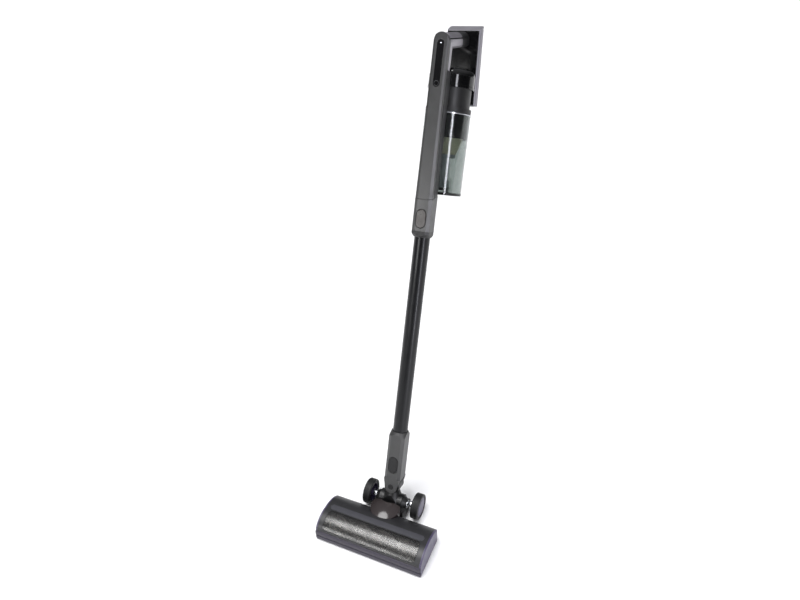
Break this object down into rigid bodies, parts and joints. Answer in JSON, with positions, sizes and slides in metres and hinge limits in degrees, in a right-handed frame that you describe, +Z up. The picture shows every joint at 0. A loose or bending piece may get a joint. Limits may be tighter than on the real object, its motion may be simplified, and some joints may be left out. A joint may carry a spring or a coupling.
{
  "type": "cordless stick vacuum",
  "caption": "Cordless stick vacuum: driven floor head on two wheels, pitching and swivelling neck, wand, and a hand unit with cyclone bin, fan, display and rear battery.",
  "frame": {"origin": "on the floor, under the middle of the whole object from the bumper to the battery", "axes": "+Z up, X across the floor head, -Y towards the front of the head; the stick leans back towards +Y"},
  "size_m": [0.25, 0.6156, 0.9829],
  "materials": {
    "charcoal": "satin",
    "gunmetal": "satin",
    "black": "satin",
    "dark_gloss": "gloss",
    "smoke": "clear smoked",
    "lavender": "satin",
    "bumper": "satin",
    "bristle": "nylon tufts",
    "steel": "turned",
    "rubber": "matte",
    "tube": "satin",
    "silver": "satin",
    "aluminium": "machined",
    "filter": "pleated fleece",
    "grey": "matte",
    "cell": "shrink sleeve"
  },
  "bodies": {
    "hand_unit": {"body_front": "gunmetal", "body_rear": "charcoal", "body_seam": "black", "inlet_pipe": "black", "air_duct": "black", "display_lens": "dark_gloss", "grip_core": "black", "grip_upper": "silver", "grip_lower": "silver", "fan_housing": "dark_gloss", "fan_cover": "dark_gloss", "fan_motor": "steel", "exhaust_filter": "filter", "cyclone_body": "black", "fine_filter": "filter", "cyclone_tube": "grey", "back_plate": "dark_gloss"},
    "power_key": {"power_button": "dark_gloss"},
    "fan_rotor": {"impeller": "aluminium"},
    "bin": {"dust_bin": "smoke"},
    "lid": {"bin_lid": "black"},
    "latch": {"lid_latch": "black"},
    "bin_key": {"bin_button": "silver"},
    "battery": {"battery_case": "silver", "battery_cells": "cell"},
    "wand": {"wand_tube": "tube", "wire_duct": "black", "upper_collar": "black", "upper_connector": "gunmetal", "upper_spring": "steel"},
    "upper_key": {"upper_button": "dark_gloss"},
    "lower_unit": {"lower_connector": "gunmetal", "swivel_pins": "black", "lower_spring": "steel"},
    "lower_key": {"lower_button": "black"},
    "neck": {"neck_drum": "black", "neck_hose": "rubber"},
    "head": {"head_shell": "charcoal", "sole_plate": "black", "brush_window": "smoke", "end_plate_left": "lavender", "end_plate_right": "lavender", "front_bumper": "bumper", "brush_bearings": "steel", "drive_belt": "rubber", "brush_motor": "steel", "neck_yoke": "black", "neck_cover": "dark_gloss", "pivot_pins": "steel", "wheel_axles": "steel"},
    "brush": {"brush_core": "black", "brush_bristles": "bristle", "brush_pulley": "black"},
    "brush_drive": {"motor_pulley": "black"},
    "left_wheel": {"tyre_left": "rubber", "hub_left": "lavender"},
    "right_wheel": {"tyre_right": "rubber", "hub_right": "lavender"},
    "left_roller": {"roller_left": "black"},
    "right_roller": {"roller_right": "black"}
  },
  "joints": [
    {"name": "power_press", "type": "slide", "parent": "hand_unit", "child": "power_key", "axis": [0, 0.9397, -0.342], "range_m": [0, 0.0008], "stiffness_N_per_m": 300},
    {"name": "fan_spin", "type": "hinge", "parent": "hand_unit", "child": "fan_rotor", "pos_m": [0, 0.19887, 0.85088], "axis": [0, 0.342, 0.9397], "continuous": true},
    {"name": "bin_slide", "type": "slide", "parent": "hand_unit", "child": "bin", "axis": [0, -0.342, -0.9397], "range_m": [0, 0.1]},
    {"name": "lid_hinge", "type": "hinge", "parent": "bin", "child": "lid", "pos_m": [0, 0.09335, 0.6823], "axis": [-1, 0, 0], "range_deg": [0, 90]},
    {"name": "latch_slide", "type": "slide", "parent": "bin", "child": "latch", "axis": [0, 0.342, 0.9397], "range_m": [0, 0.004], "stiffness_N_per_m": 200, "springref_m": -0.001},
    {"name": "bin_press", "type": "slide", "parent": "hand_unit", "child": "bin_key", "axis": [1, 0, 0], "range_m": [0, 0.002], "stiffness_N_per_m": 300},
    {"name": "battery_slide", "type": "slide", "parent": "hand_unit", "child": "battery", "axis": [0, 0.1959, 0.9806], "range_m": [0, 0.06]},
    {"name": "wand_slide", "type": "slide", "parent": "hand_unit", "child": "wand", "axis": [0, -0.342, -0.9397], "range_m": [0, 0.03]},
    {"name": "upper_press", "type": "slide", "parent": "wand", "child": "upper_key", "axis": [0, 0.9397, -0.342], "range_m": [0, 0.0015], "stiffness_N_per_m": 400},
    {"name": "neck_slide", "type": "slide", "parent": "wand", "child": "lower_unit", "axis": [0, -0.342, -0.9397], "range_m": [0, 0.035]},
    {"name": "lower_press", "type": "slide", "parent": "lower_unit", "child": "lower_key", "axis": [0, 0.9397, -0.342], "range_m": [0, 0.0015], "stiffness_N_per_m": 400},
    {"name": "neck_swivel", "type": "hinge", "parent": "lower_unit", "child": "neck", "pos_m": [0, -0.15627, 0.07453], "axis": [0, 0.9397, -0.342], "range_deg": [-70, 70]},
    {"name": "neck_pitch", "type": "hinge", "parent": "neck", "child": "head", "pos_m": [0, -0.1703, 0.036], "axis": [1, 0, 0], "range_deg": [-20, 60], "deforming": ["neck_hose"]},
    {"name": "brush_spin", "type": "hinge", "parent": "head", "child": "brush", "pos_m": [0, -0.2763, 0.0244], "axis": [1, 0, 0], "continuous": true},
    {"name": "drive_spin", "type": "hinge", "parent": "head", "child": "brush_drive", "pos_m": [0, -0.2303, 0.024], "axis": [1, 0, 0], "continuous": true},
    {"name": "left_wheel_spin", "type": "hinge", "parent": "head", "child": "left_wheel", "pos_m": [-0.0595, -0.1613, 0.029], "axis": [1, 0, 0], "continuous": true},
    {"name": "right_wheel_spin", "type": "hinge", "parent": "head", "child": "right_wheel", "pos_m": [0.0595, -0.1613, 0.029], "axis": [1, 0, 0], "continuous": true},
    {"name": "left_roller_spin", "type": "hinge", "parent": "head", "child": "left_roller", "pos_m": [-0.1145, -0.2923, 0.005], "axis": [1, 0, 0], "continuous": true},
    {"name": "right_roller_spin", "type": "hinge", "parent": "head", "child": "right_roller", "pos_m": [0.1145, -0.2923, 0.005], "axis": [1, 0, 0], "continuous": true}
  ],
  "couplings": [
    {"joint": "drive_spin", "follows": "brush_spin", "ratio": 1.5}
  ]
}
